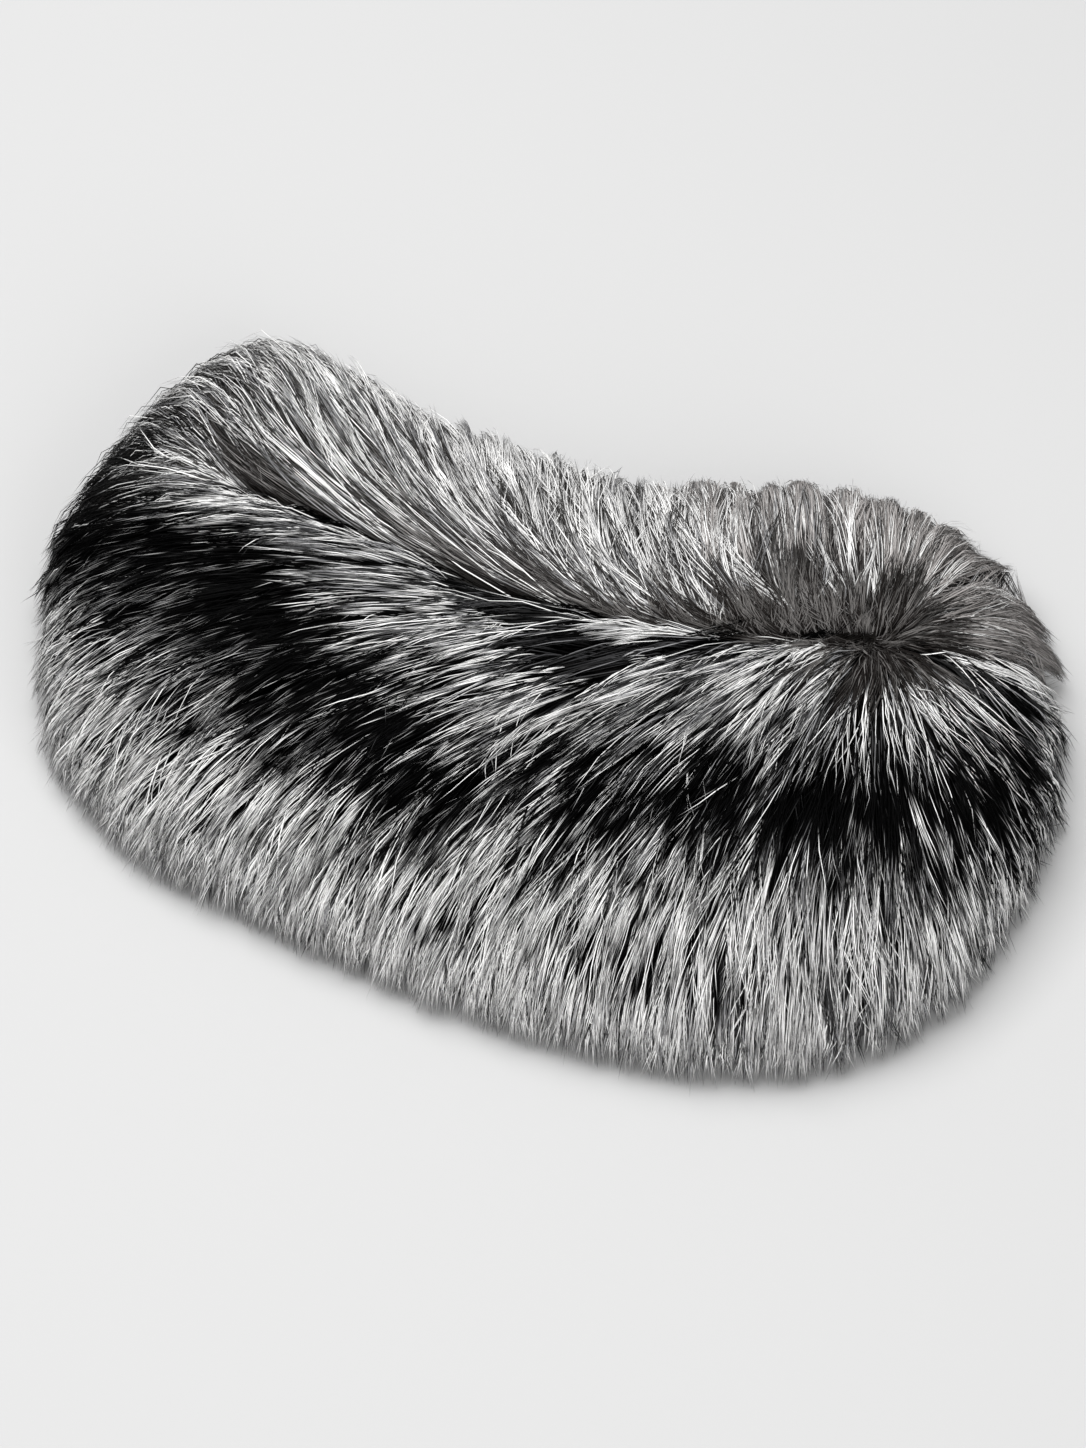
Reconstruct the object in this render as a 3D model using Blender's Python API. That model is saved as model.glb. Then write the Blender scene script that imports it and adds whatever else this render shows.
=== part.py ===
"""Silver fox collar wrap, laid open with its fur up.

Two leather panels are sewn edge to edge under a parting, and each carries a thick field of pile. The hair
leaves the parting in long curved rays and lands at the rim, so every surface is a function of two shares:
round, which goes once about the rim, and out, which runs along a ray from the parting (0) to the rim (1).
Metres, +Z up, the flat underside at z = 0.
"""

import bmesh
import bpy
import numpy as np

CM = 0.01

# Driving sizes
SKIN_THICKNESS = 0.0025
SEAM_GAP = 0.0003
SEAM_STEP = 0.00036  # the gap measured along Y, because the seam runs up to 30 degrees off X
HAIR_BEYOND_SKIN = 0.066  # the length of each ray that is hair alone, past the edge of the leather
RIM_THICKNESS = 0.004  # of the pile at its tips
SHOULDER = 2.25  # exponent of the pile's rounded section, 2 for an ellipse
CREASE_DEPTH = 0.013  # of the parting
CREASE_WIDTH = 0.014

# Locks of hair
LOCKS = 76  # about the whole rim
COLUMNS_PER_LOCK = 4
LOCK_RELIEF = 0.0022  # height of a lock over the gaps beside it
LOCK_ROOT = 0.035  # from the parting, where a lock has parted from its neighbours
STEP_RELIEF = 0.0048  # height of a tip over the lock that it covers
STEP_LENGTH = 0.058  # from one row of tips to the next
TUFT_REACH = 0.009  # how far a lock's tip stands past the gaps beside it at the rim
GAP_INSET = 0.003  # how far those gaps lie behind the rim of the table below
LOCK_SEED = 11

# Rows of faces from the parting to the rim
ROWS_FALL = 15
ROWS_NECK = 12
FIRST_ROW = 0.045  # share of the ray, within the crease

# The middle of the wrap in the coordinates of the two tables below, which are in centimetres
MIDDLE = (0.154, -0.229)

# The parting, from its left end to the whorl
PARTING = (
    # x, y, height
    (-13.2, 7.9, 7.3),
    (-8.7, 5.3, 7.8),
    (-2.8, 2.3, 8.0),
    (0.3, 1.05, 8.0),
    (4.8, 0.1, 8.0),
    (7.8, -0.2, 7.9),
    (11.6, -0.4, 7.8),
    (14.7, -0.4, 7.6),
)

# Rays of hair, anticlockwise from the left tip: where each leaves the parting (share of its width), where it
# meets the rim, and its compass direction at both ends (degrees, 0 is +X, 90 is +Y). The first and the one at
# RIGHT_RAY are straight and part the fall from the neck beyond the ends of the parting
RAYS = (
    # root, x, y, leaves, lands
    (0.00, -22.0, 7.9, 180, 180),
    (0.17, -22.4, 4.4, 176, 195),
    (0.33, -22.4, 1.2, 174, 207),
    (0.42, -21.9, -2.5, 177, 217),
    (0.50, -19.8, -5.8, 182, 228),
    (0.58, -17.1, -8.5, 188, 234),
    (0.70, -13.1, -10.9, 197, 238),
    (0.78, -8.7, -13.4, 208, 246),
    (0.90, -1.9, -16.7, 220, 254),
    (0.95, 2.6, -18.2, 228, 260),
    (0.99, 7.1, -19.2, 240, 265),
    (1.00, 13.7, -18.2, 266, 271),
    (1.00, 18.1, -15.0, 290, 288),
    (1.00, 20.8, -11.1, 308, 302),
    (1.00, 22.3, -7.0, 324, 318),
    (1.00, 22.7, -3.6, 340, 335),
    (1.00, 22.5, -0.4, 360, 360),
    (1.00, 21.9, 3.8, 377, 380),
    (1.00, 20.1, 7.6, 397, 402),
    (1.00, 17.6, 9.9, 425, 430),
    (0.99, 14.2, 11.1, 450, 450),
    (0.92, 11.5, 11.2, 475, 452),
    (0.87, 9.0, 11.0, 500, 455),
    (0.75, 4.0, 11.0, 520, 455),
    (0.63, 0.3, 12.5, 515, 457),
    (0.50, -4.2, 14.2, 502, 460),
    (0.39, -6.8, 15.7, 498, 465),
    (0.28, -9.2, 17.5, 495, 468),
    (0.16, -12.2, 19.1, 490, 475),
    (0.07, -14.4, 18.7, 490, 485),
    (0.02, -16.3, 17.2, 496, 500),
    (0.00, -18.3, 14.8, 513, 515),
    (0.00, -20.2, 11.6, 528, 530),
)
RIGHT_RAY = 16


def spline(table, at):
    """Rows of a table read at a fractional row number, on a Catmull-Rom curve that is held at both ends."""
    padded = np.vstack([2 * table[0] - table[1], table, 2 * table[-1] - table[-2]])
    row = np.clip(np.floor(at).astype(int), 0, len(table) - 2)
    t = (at - row)[..., None]
    a, b, c, d = (padded[row + k] for k in range(4))
    return 0.5 * (2 * b + (c - a) * t + (2 * a - 5 * b + 4 * c - d) * t**2 + (3 * b - a - 3 * c + d) * t**3)


def closed_rays():
    """The rays once round, with a few rows more at each end so that the spline closes on itself."""
    rays = np.array(RAYS, float)
    turn = np.array([0, 0, 0, 360, 360])
    return np.vstack([rays[-3:] - turn, rays, rays[:4] + turn])


def rim_shares():
    """The share of the way round the rim at each row of closed_rays."""
    steps = np.hypot(*np.diff(closed_rays()[:, 1:3], axis=0).T)
    along = np.concatenate([[0], np.cumsum(steps)])
    return (along - along[3]) / (along[3 + len(RAYS)] - along[3])


def ray(about):
    """root, rim x, rim y, leaves and lands at a share round the rim."""
    shares = rim_shares()
    return spline(closed_rays(), np.interp(about, shares, np.arange(len(shares))))


def parting(root):
    """x, y and height on the parting, in metres."""
    line = np.array(PARTING)
    x = line[0, 0] + np.clip(root, 0, 1) * (line[-1, 0] - line[0, 0])
    return (spline(line, np.interp(x, line[:, 0], np.arange(len(line)))) - np.array([*MIDDLE, 0])) * CM


def rim(about):
    """The place on the ground where a ray meets the rim."""
    return (ray(about)[..., 1:3] - np.array(MIDDLE)) * CM


def compass(degrees):
    return np.stack([np.cos(np.radians(degrees)), np.sin(np.radians(degrees))], axis=-1)


def ray_length(about):
    """The straight distance from a ray's root to the rim."""
    return np.linalg.norm(rim(about) - parting(ray(about)[..., 0])[..., :2], axis=-1)


def plan(about, out):
    """The place on the ground under a point of a ray, on a Hermite curve."""
    row = ray(about)
    root, leaves, lands = row[..., 0], row[..., 3], row[..., 4]
    start = parting(root)[..., :2]
    end = rim(about)
    reach = ray_length(about)[..., None]
    t = np.asarray(out, float)[..., None]
    return (
        start * (2 * t**3 - 3 * t**2 + 1)
        + compass(leaves) * reach * (t**3 - 2 * t**2 + t)
        + end * (3 * t**2 - 2 * t**3)
        + compass(lands) * reach * (t**3 - t**2)
    )


def smooth_pile(about, out):
    """The pile's outer surface with no locks."""
    top = parting(ray(about)[..., 0])[..., 2]
    rounded = np.maximum(1 - np.asarray(out, float) ** SHOULDER, 0) ** (1 / SHOULDER)
    from_parting = out * ray_length(about)
    crease = CREASE_DEPTH * np.exp(-((from_parting / CREASE_WIDTH) ** 2))
    height = RIM_THICKNESS + (top - RIM_THICKNESS) * rounded - crease
    return np.concatenate([plan(about, out), height[..., None]], axis=-1)


def outward(about, out):
    """Unit normals of the smooth pile. They are level at the rim and upright along the parting."""
    step = 0.002
    inner = np.clip(out, 0.02, 1 - step)
    along = smooth_pile(about, inner + step) - smooth_pile(about, inner)
    across = smooth_pile(about + step, inner) - smooth_pile(about - step, inner)
    normal = np.cross(along, across)
    normal /= np.linalg.norm(normal, axis=-1)[..., None]
    level = normal * np.array([1, 1, 0])
    level /= np.maximum(np.linalg.norm(level, axis=-1), 1e-9)[..., None]
    at_rim = np.clip((np.asarray(out, float) - 0.96) / 0.04, 0, 1)[..., None]
    at_rim = np.broadcast_to(at_rim, normal.shape[:-1] + (1,))
    mixed = normal * (1 - at_rim) + level * at_rim
    return mixed / np.linalg.norm(mixed, axis=-1)[..., None]


def lock_edges():
    """The shares round the rim at which one lock parts from the next. The two straight rays are among them."""
    random = np.random.default_rng(LOCK_SEED)
    turn = rim_shares()[3 + RIGHT_RAY]
    fall = round(LOCKS * turn)
    edges = []
    for first, last, count in ((0.0, turn, fall), (turn, 1.0, LOCKS - fall)):
        widths = random.uniform(0.65, 1.35, count)
        edges.append(first + (last - first) * np.concatenate([[0], np.cumsum(widths)[:-1]]) / widths.sum())
    return np.append(np.concatenate(edges), 1.0)


def relief(about, out):
    """How far locks and their overlapping tips stand out of the smooth pile."""
    random = np.random.default_rng(LOCK_SEED + 1)
    size = random.uniform(0.55, 1.3, LOCKS)
    phase = random.uniform(0, 1, LOCKS)
    reach = random.uniform(0.3, 1.5, LOCKS)
    edges = lock_edges()
    about = np.clip(about, 0, 1)
    lock = np.clip(np.searchsorted(edges, about, side="right") - 1, 0, LOCKS - 1)
    across = (about - edges[lock]) / (edges[lock + 1] - edges[lock])
    crown = np.abs(np.sin(np.pi * across)) ** 0.7
    point = 1 - np.abs(2 * across - 1)
    from_parting = out * ray_length(about)
    parted = np.clip(from_parting / LOCK_ROOT, 0, 1)
    tips = np.mod(from_parting / STEP_LENGTH + phase[lock], 1.0)
    body = crown * parted * (size[lock] * LOCK_RELIEF + tips * STEP_RELIEF)
    tuft = point * reach[lock] * TUFT_REACH - GAP_INSET
    at_rim = np.clip((out - 0.88) / 0.12, 0, 1) ** 2
    return body * (1 - at_rim) + tuft * at_rim


def pile(about, out):
    """The pile's outer surface in locks."""
    about, out = np.broadcast_arrays(np.asarray(about, float), np.asarray(out, float))
    return smooth_pile(about, out) + outward(about, out) * relief(about, out)[..., None]


def rows_out(count):
    """Shares along a ray for rows of faces: even turns of the rounded section, with one more in the crease."""
    turns = np.linspace(0, np.pi / 2, count + 1)
    return np.insert(np.sin(turns) ** (2 / SHOULDER), 1, FIRST_ROW)


def columns(first, last, per_lock):
    """Shares round the rim for columns of faces between two of the lock edges."""
    edges = lock_edges()
    edges = edges[(edges > first - 1e-9) & (edges < last + 1e-9)]
    return np.interp(np.arange((len(edges) - 1) * per_lock + 1) / per_lock, np.arange(len(edges)), edges)


def material(name, colour, roughness, sheen):
    made = bpy.data.materials.new(name)
    made.use_nodes = True
    shader = made.node_tree.nodes["Principled BSDF"]
    shader.inputs["Base Color"].default_value = (*colour, 1)
    shader.inputs["Roughness"].default_value = roughness
    shader.inputs["Metallic"].default_value = 0
    shader.inputs["Sheen Weight"].default_value = sheen
    made.diffuse_color = (*colour, 1)
    return made


def solid_from_sections(name, sections, finish):
    """A closed solid through closed sections, one row of points each, with a flat cap on the first and last.
    Sections that start from one place share their points there."""
    mesh = bmesh.new()
    rings = [[mesh.verts.new(point) for point in section] for section in sections]
    sides = len(rings[0])
    for ring, following in zip(rings, rings[1:]):
        for k in range(sides):
            after = (k + 1) % sides
            mesh.faces.new((ring[k], ring[after], following[after], following[k]))
    mesh.faces.new(rings[0][::-1])
    mesh.faces.new(rings[-1])
    bmesh.ops.remove_doubles(mesh, verts=mesh.verts, dist=1e-6)
    bmesh.ops.dissolve_degenerate(mesh, edges=mesh.edges, dist=1e-6)
    bmesh.ops.triangulate(mesh, faces=mesh.faces)
    bmesh.ops.recalc_face_normals(mesh, faces=mesh.faces)
    data = bpy.data.meshes.new(name)
    mesh.to_mesh(data)
    mesh.free()
    data.materials.append(finish)
    data.shade_smooth()
    data.set_sharp_from_angle(angle=np.radians(50))
    made = bpy.data.objects.new(name, data)
    bpy.context.scene.collection.objects.link(made)
    return made


def skin_edge(about):
    """The share along a ray at which the leather ends."""
    return 1 - HAIR_BEYOND_SKIN / ray_length(about)


def seam_side(points, step):
    """Points on the seam, moved off it along Y."""
    return points + np.array([0, step, 0])


def at_height(plan_points, height):
    heights = np.full(plan_points.shape[:-1] + (1,), height)
    return np.concatenate([plan_points, heights], axis=-1)


def make_pile(name, first, last, rows, step, finish):
    """One field of pile. Its flat underside rests on the ground past the leather, which it holds in a recess."""
    about = columns(first, last, COLUMNS_PER_LOCK)
    out = rows_out(rows)
    top = pile(about[:, None], out[None, :])
    foot = top[:, -1] * np.array([1, 1, 0])
    edge = plan(about, skin_edge(about) + SEAM_GAP / ray_length(about))
    ceiling = SKIN_THICKNESS + SEAM_GAP
    root = at_height(plan(about, np.zeros_like(about)), ceiling)
    sections = np.concatenate(
        [top, foot[:, None], at_height(edge, 0)[:, None], at_height(edge, ceiling)[:, None], root[:, None]],
        axis=1,
    )
    sections[:, 0] = seam_side(sections[:, 0], step)
    sections[:, -1] = seam_side(sections[:, -1], step)
    for end in (0, -1):
        sections[end] = seam_side(sections[end], step)
    for end in (0, -1):
        sections[end, 0] = seam_side(sections[end, 0], -step)
        sections[end, -1] = seam_side(sections[end, -1], -step)
    return solid_from_sections(name, sections, finish)


def make_skin(name, first, last, step, finish):
    """One leather panel, from the seam under the parting to its own edge."""
    about = columns(first, last, 2)
    root = plan(about, np.zeros_like(about))
    edge = plan(about, skin_edge(about))
    sections = np.stack(
        [at_height(root, SKIN_THICKNESS), at_height(edge, SKIN_THICKNESS), at_height(edge, 0), at_height(root, 0)],
        axis=1,
    )
    sections[:, 0] = seam_side(sections[:, 0], step)
    sections[:, -1] = seam_side(sections[:, -1], step)
    for end in (0, -1):
        sections[end, 1:3] = seam_side(sections[end, 1:3], step)
    return solid_from_sections(name, sections, finish)


def main():
    for old in list(bpy.data.objects):
        bpy.data.objects.remove(old, do_unlink=True)
    turn = rim_shares()[3 + RIGHT_RAY]
    leather = material("fox_leather", (0.62, 0.55, 0.45), 0.85, 0.2)
    silver = material("silver_pile", (0.22, 0.22, 0.23), 0.7, 0.4)
    make_skin("skin_fall", 0, turn, -SEAM_STEP, leather)
    make_skin("skin_neck", turn, 1, 0, leather)
    make_pile("fur_fall", 0, turn, ROWS_FALL, -SEAM_STEP, silver)
    make_pile("fur_neck", turn, 1, ROWS_NECK, 0, silver)


main()
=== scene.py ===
"""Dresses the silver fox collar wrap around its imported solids.

Two leather panels lie under an undercoat of short wool, and tapered guard hairs are laid over it in locks.
The hair leaves the parting in long curved rays and lands at the rim, so every place on the coat is given by
two shares: round, which goes once about the rim, and out, which runs along a ray from the parting (0) to
the rim (1).
"""

import math

import bpy
import numpy as np
from bpy.props import FloatProperty, FloatVectorProperty, PointerProperty
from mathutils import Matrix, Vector


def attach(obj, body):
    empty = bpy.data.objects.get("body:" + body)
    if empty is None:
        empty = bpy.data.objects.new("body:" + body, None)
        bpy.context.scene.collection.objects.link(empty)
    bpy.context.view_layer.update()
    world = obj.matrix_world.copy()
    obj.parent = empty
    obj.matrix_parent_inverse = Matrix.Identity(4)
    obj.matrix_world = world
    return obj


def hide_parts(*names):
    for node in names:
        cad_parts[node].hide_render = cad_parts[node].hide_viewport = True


bl_info = {
    "name": "Fur Collar Wrap",
    "version": (1, 0, 0),
    "blender": (4, 5, 0),
    "location": "3D View > Sidebar > Fur Wrap",
    "description": "Dresses a fur collar wrap with leather, undercoat and guard hair",
    "category": "Object",
}

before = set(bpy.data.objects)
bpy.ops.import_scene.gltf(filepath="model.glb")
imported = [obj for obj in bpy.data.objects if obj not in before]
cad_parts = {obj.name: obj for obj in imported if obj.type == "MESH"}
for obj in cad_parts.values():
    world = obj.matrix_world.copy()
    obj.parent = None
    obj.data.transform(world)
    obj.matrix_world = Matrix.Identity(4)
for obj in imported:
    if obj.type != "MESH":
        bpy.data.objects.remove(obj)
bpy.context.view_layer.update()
CM = 0.01

# The solids' own sizes
SKIN_THICKNESS = 0.0025
SEAM_GAP = 0.0003
SEAM_STEP = 0.00036  # the gap measured along Y, because the seam runs up to 30 degrees off X
HAIR_BEYOND_SKIN = 0.066  # the length of each ray that is hair alone, past the edge of the leather
RIM_THICKNESS = 0.004  # of the coat at its tips
SHOULDER = 2.25  # exponent of the coat's rounded section, 2 for an ellipse
CREASE_DEPTH = 0.007  # of the parting, which the first hairs half fill
WHORL_DEPTH = 0.006  # of its right end, where the hair opens round the whorl
WHORL_FROM = 0.9  # share of the parting's width
CREASE_WIDTH = 0.014
TUFTS = 76  # locks about the whole rim
TUFT_ROUNDNESS = 0.7  # exponent of one's section
TUFT_RELIEF = 0.0022  # height of one over the gaps beside it
TUFT_ROOT = 0.035  # from the parting, where a tuft has parted from its neighbours
TIP_RELIEF = 0.0024  # mean height of tips over the tufts that they cover
TUFT_REACH = 0.009  # how far a tuft's tip stands past the gaps beside it at the rim
GAP_INSET = 0.003  # how far those gaps lie behind the rim of the table below
RIM_FROM = 0.88  # share of a ray, past which a tuft's body turns into its tip
TUFT_SEED = 11

# The middle of the wrap in the coordinates of the next two tables, which are in centimetres
MIDDLE = (0.154, -0.229)

# The parting, from its left end to the whorl: x, y, height
PARTING = (
    (-13.2, 7.9, 7.3), (-8.7, 5.3, 7.8), (-2.8, 2.3, 8), (0.3, 1.05, 8), (4.8, 0.1, 8), (7.8, -0.2, 7.9),
    (11.6, -0.4, 7.8), (14.7, -0.4, 7.6),
)  # fmt: skip

# Rays of hair, anticlockwise from the left tip: where each leaves the parting (share of its width), where
# it meets the rim (x, y), and its compass direction at both ends (degrees, 0 is +X, 90 is +Y). The first and
# the one at RIGHT_RAY are straight, and part the fall from the neck past both ends of the parting
RAYS = (
    (0, -22, 7.9, 180, 180), (0.17, -22.4, 4.4, 176, 195), (0.33, -22.4, 1.2, 174, 207),
    (0.42, -21.9, -2.5, 177, 217), (0.5, -19.8, -5.8, 182, 228), (0.58, -17.1, -8.5, 188, 234),
    (0.7, -13.1, -10.9, 197, 238), (0.78, -8.7, -13.4, 208, 246), (0.9, -1.9, -16.7, 220, 254),
    (0.95, 2.6, -18.2, 228, 260), (0.99, 7.1, -19.2, 240, 265), (1, 13.7, -18.2, 266, 271),
    (1, 18.1, -15, 290, 288), (1, 20.8, -11.1, 308, 302), (1, 22.3, -7, 324, 318),
    (1, 22.7, -3.6, 340, 335), (1, 22.5, -0.4, 360, 360), (1, 21.9, 3.8, 377, 380),
    (1, 20.1, 7.6, 397, 402), (1, 17.6, 9.9, 425, 430), (0.99, 14.2, 11.1, 450, 450),
    (0.92, 11.5, 11.2, 475, 452), (0.87, 9, 11, 500, 455), (0.75, 4, 11, 520, 455),
    (0.63, 0.3, 12.5, 515, 457), (0.5, -4.2, 14.2, 502, 460), (0.39, -6.8, 15.7, 498, 465),
    (0.28, -9.2, 17.5, 495, 468), (0.16, -12.2, 19.1, 490, 475), (0.07, -14.4, 18.7, 490, 485),
    (0.02, -16.3, 17.2, 496, 500), (0, -18.3, 14.8, 513, 515), (0, -20.2, 11.6, 528, 530),
)  # fmt: skip
RIGHT_RAY = 16

# The black band across the fall: share round, its middle and half its width in metres from the parting, and
# its strength, which is the share of hairs there that turn black
BAND = (
    (-0.07, 0.066, 0.018, 0), (-0.03, 0.08, 0.03, 0.8), (0, 0.09, 0.04, 1), (0.04, 0.118, 0.052, 1),
    (0.07, 0.13, 0.046, 1), (0.11, 0.134, 0.038, 1), (0.145, 0.144, 0.036, 0.96),
    (0.165, 0.159, 0.032, 0.84), (0.185, 0.157, 0.027, 0.72), (0.205, 0.164, 0.033, 0.84),
    (0.226, 0.15, 0.034, 0.64), (0.242, 0.122, 0.024, 0.5), (0.262, 0.134, 0.032, 0.8),
    (0.28, 0.122, 0.033, 0.86), (0.295, 0.112, 0.03, 0.72), (0.31, 0.106, 0.032, 0.9),
    (0.33, 0.112, 0.03, 0.92), (0.347, 0.1, 0.022, 0.7), (0.363, 0.093, 0.027, 0.95),
    (0.385, 0.098, 0.038, 0.98), (0.405, 0.098, 0.037, 0.88), (0.425, 0.098, 0.036, 0.88),
    (0.45, 0.092, 0.034, 0.95), (0.48, 0.098, 0.022, 0.94), (0.5, 0.094, 0.024, 0.84),
    (0.53, 0.102, 0.018, 0.5), (0.56, 0.108, 0.012, 0.1),
)  # fmt: skip
BAND_LOCK_SPREAD, BAND_HAIR_SPREAD = 0.02, 0.009  # how far locks and hairs have it nearer and further
BAND_REACH = 0.022  # half the length that one hair's own black covers
BAND_ON_HAIR = 0.55  # where it lies on a hair that can reach the band with it, as a share of its length
BAND_BY_LOCK = 0.75  # how far its lock, and not the hair alone, decides whether a hair turns
BAND_PAST_FALL = 0.02  # how far round the neck side hairs still turn

# How light the coat is: share round, the shares of its locks that are light near the parting and far from
# it, how far from the parting its first guard hairs start, and the share of guard hairs that give way to
# wool. Before 0 the first hairs start behind the parting, and past 0 bare wool shows first
LIGHT = (
    (0, 0.38, 0.52, -0.012, 0), (0.05, 0.52, 0.84, -0.012, 0), (0.1, 0.56, 0.98, -0.012, 0),
    (0.14, 0.4, 1, -0.012, 0), (0.24, 0.36, 1, -0.006, 0), (0.3, 0.4, 0.94, -0.006, 0),
    (0.33, 0.2, 0.93, 0.002, 0.25), (0.36, 0, 0.8, 0.014, 0.75), (0.4, 0, 0.74, 0.02, 0.8),
    (0.45, 0, 0.72, 0.021, 0.8), (0.5, 0.2, 0.6, 0.016, 0.5), (0.56, 0.3, 0.6, 0.018, 0.75),
    (0.66, 0.4, 0.76, 0.016, 0.65), (0.7, 0.52, 0.92, 0.008, 0.3), (0.76, 0.36, 0.92, -0.004, 0),
    (0.81, 0.34, 0.9, -0.012, 0), (0.86, 0.42, 0.68, -0.018, 0), (0.91, 0.24, 0.42, -0.02, 0),
    (0.96, 0.24, 0.42, -0.016, 0), (1, 0.38, 0.52, -0.012, 0),
)  # fmt: skip
PARTING_WAVES = 13  # once round, the hair of one side and then of the other lies further over the parting
PARTING_WAVE = 0.8  # by this share more and less
FIRST_SPREAD = 0.7  # how much further from the parting some of the first hairs start, past bare wool

# How far round the hairs at the parting start from their tips' rays, because they sweep along it first
SWEEP = (
    (0, 0), (0.06, 0.012), (0.16, 0.022), (0.26, 0.014), (0.36, 0), (0.68, 0), (0.76, -0.012),
    (0.84, -0.026), (0.92, -0.016), (1, 0),
)  # fmt: skip
SWEEP_REACH = 0.05  # from the parting

# How far round the hairs lean from root to tip
SLANT = ((0.78, 0), (0.86, 0.03), (0.91, 0.042), (0.96, 0.02), (1, 0))

# Dark hollows along the parting and beside the whorl, where few hairs lie: x, y, direction in degrees, half
# length and half width in metres
HOLLOWS = (
    (-0.13, 0.087, -32, 0.012, 0.006), (-0.072, 0.084, -63, 0.034, 0.003),
    (-0.005, 0.0125, -21, 0.032, 0.013), (0.012, -0.016, -17, 0.024, 0.007),
    (0.06, -0.011, -6, 0.015, 0.004), (0.161, -0.034, -62, 0.02, 0.005),
)  # fmt: skip
HOLLOW_KEEP = 0.04  # share of the hairs that stay in one
HOLLOW_DEPTH = 0.009  # of the roots of hairs that start past one

# Deep gaps between tufts beside the whorl: share round, half width at the rim and reach from it in metres
NOTCHES = (
    (0.542, 0.004, 0.045), (0.561, 0.004, 0.04), (0.577, 0.004, 0.045), (0.597, 0.009, 0.085),
    (0.618, 0.005, 0.055), (0.632, 0.006, 0.065), (0.655, 0.004, 0.045), (0.68, 0.003, 0.04),
)  # fmt: skip
NOTCH_SPREAD = 4.5  # half widths, within which the hairs on either side close up

# How far the tips of the tufts between those gaps stand out: share round, height in metres
FLARE = (
    (0.542, 0), (0.552, 0.002), (0.561, 0), (0.569, 0.004), (0.577, 0.001), (0.586, 0.006), (0.597, 0),
    (0.608, 0.008), (0.618, 0.002), (0.625, 0.011), (0.632, 0.001), (0.643, 0.009), (0.655, 0.001),
    (0.667, 0.007), (0.68, 0.001), (0.69, 0.003), (0.72, 0),
)  # fmt: skip
FLARE_REACH = 0.035  # from the rim

# How far the coat lies under its solid beside the whorl, where it is wool alone: share round, metres
SUNK = ((0.53, 0), (0.56, 0.003), (0.59, 0.006), (0.62, 0.008), (0.66, 0.007), (0.7, 0.003), (0.74, 0))

# How much of the tufts' tips and of the gaps between them shows at the rim: share round, share
TUFTS_SHOWN = ((0.36, 0.35), (0.45, 0.75), (0.54, 1), (0.6, 1.5), (0.68, 1.4), (0.74, 0.6), (1, 0.35))
TIP_GATHER = 0.55  # how much of a fully shown tuft's width its hairs give up towards its tip at the rim
MOST_GATHER = 0.8  # of any tuft's width
TIP_GATHER_REACH = 0.045  # from the rim, where they start to

# How far from the parting hairs give way to wool, over what length, and how far the whorl's wool shows
WOOL_TO, WOOL_FADE, WHORL_WOOL_REACH = 0.11, 0.02, 0.055

# Where some kinds of hair lie, as shares round
WHORL_STRANDS, CROWN_STRANDS, CROWN_WOOL = (0.31, 0.53), (0.56, 0.71), (0.545, 0.73)
THICK_WOOL_TO, WHORL_WOOL, SHORT_WOOL = 0.74, (0.30, 0.76), (0.22, 0.80)

# The grid on which the coat is measured once, and those of the undercoat and the leather
GRID_ROUND, GRID_OUT = 721, 161
UNDERCOAT_ROUND, UNDERCOAT_OUT = 241, 33
SKIN_ROUND, SKIN_OUT = 121, 13

SHADES = 4  # from silver to black
TONE_COLUMNS = 128  # in the hairs' own map: a hair's tone is its column, and its length runs up it
COLUMN_FILL = 0.5  # share of a column's width that a hair's faces take
DARK_SHADE, LIGHT_SHADE = 0.18, 0.88  # mean lightness of dark and of light locks
LIGHT_IN_DARK, DARK_IN_LIGHT = 0.10, 0.18  # share of a lock's hairs that are of the other kind
FLOOR_CLEARANCE = 0.005  # below this height hairs bend level, so that none is cut off by the floor
UNDERCOAT_CLEARANCE = 0.002  # the undercoat's least height
UNDERCOAT_FOOT = 0.004  # how far past the leather's edge it stands on the floor, as a share of a ray
OVERHANG = 0.002  # how far past the rim the last hairs' fine tips reach
SHORTEST, SHORTEST_KEPT = 0.012, 0.014  # of all hairs, and of those that pass beside hollows and wool
NARROWEST = 0.12  # metres once round, where the rays lie too close to read widths by
HAIRLINE = 0.04  # from the parting, nearer than which no width is read
POINTS_PER_SIDE = 2  # finer points on each side of a lock's middle
SIDE_POINTS_BACK = 0.18  # how far those at its edges end before it, as a share of its length
UNEVEN_TIPS = 0.004  # how far single hairs of a lock end before and past it
TOP_DEPTH = 0.3  # of the roots of locks that lie on top, as a share of the others'
ROOT_SHOWS = 0.003  # a hair's root shows where its hair starts further out than this past its own length
SIDEWAYS_FROM = 1.3  # exponent with which hairs turn from the places of their roots to those of their tips

# The measures of a lock of guard hair, in metres where nothing else is said
LOCK = {
    "hairs": 20,  # mean number
    "nearest": 0.025,  # from the parting to its tips, at least
    "furthest": 1.0,  # from the parting to its tips, at most
    "from_rim": 1.0,  # from the rim to its tips, at most
    "first": None,  # where the first hairs start, if not as LIGHT says
    "behind": 1.0,  # share of what LIGHT says that they start behind the parting
    "width": 1.0,  # of its roots, as a share of the wrap's lock width
    "gather": 0.35,  # width of its tips, as a share of that
    "lean": 0.005,  # its roots to one side of its tips
    "stray": 0.0003,  # single tips from their points
    "swing": 0.003,  # its curve to one side
    "wave": 0.0008,
    "turns": 5.5,  # of the wave along a hair, in radians
    "depth": 0.018,  # of its roots
    "on_top": 0.25,  # share of locks that lie on top
    "lift": 0.003,  # of its tips
    "most_lift": 0.008,
    "thickness": 1.0,  # share of the wrap's hair thickness
    "dark": 1.0,  # the lower, the more locks are light
}
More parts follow.
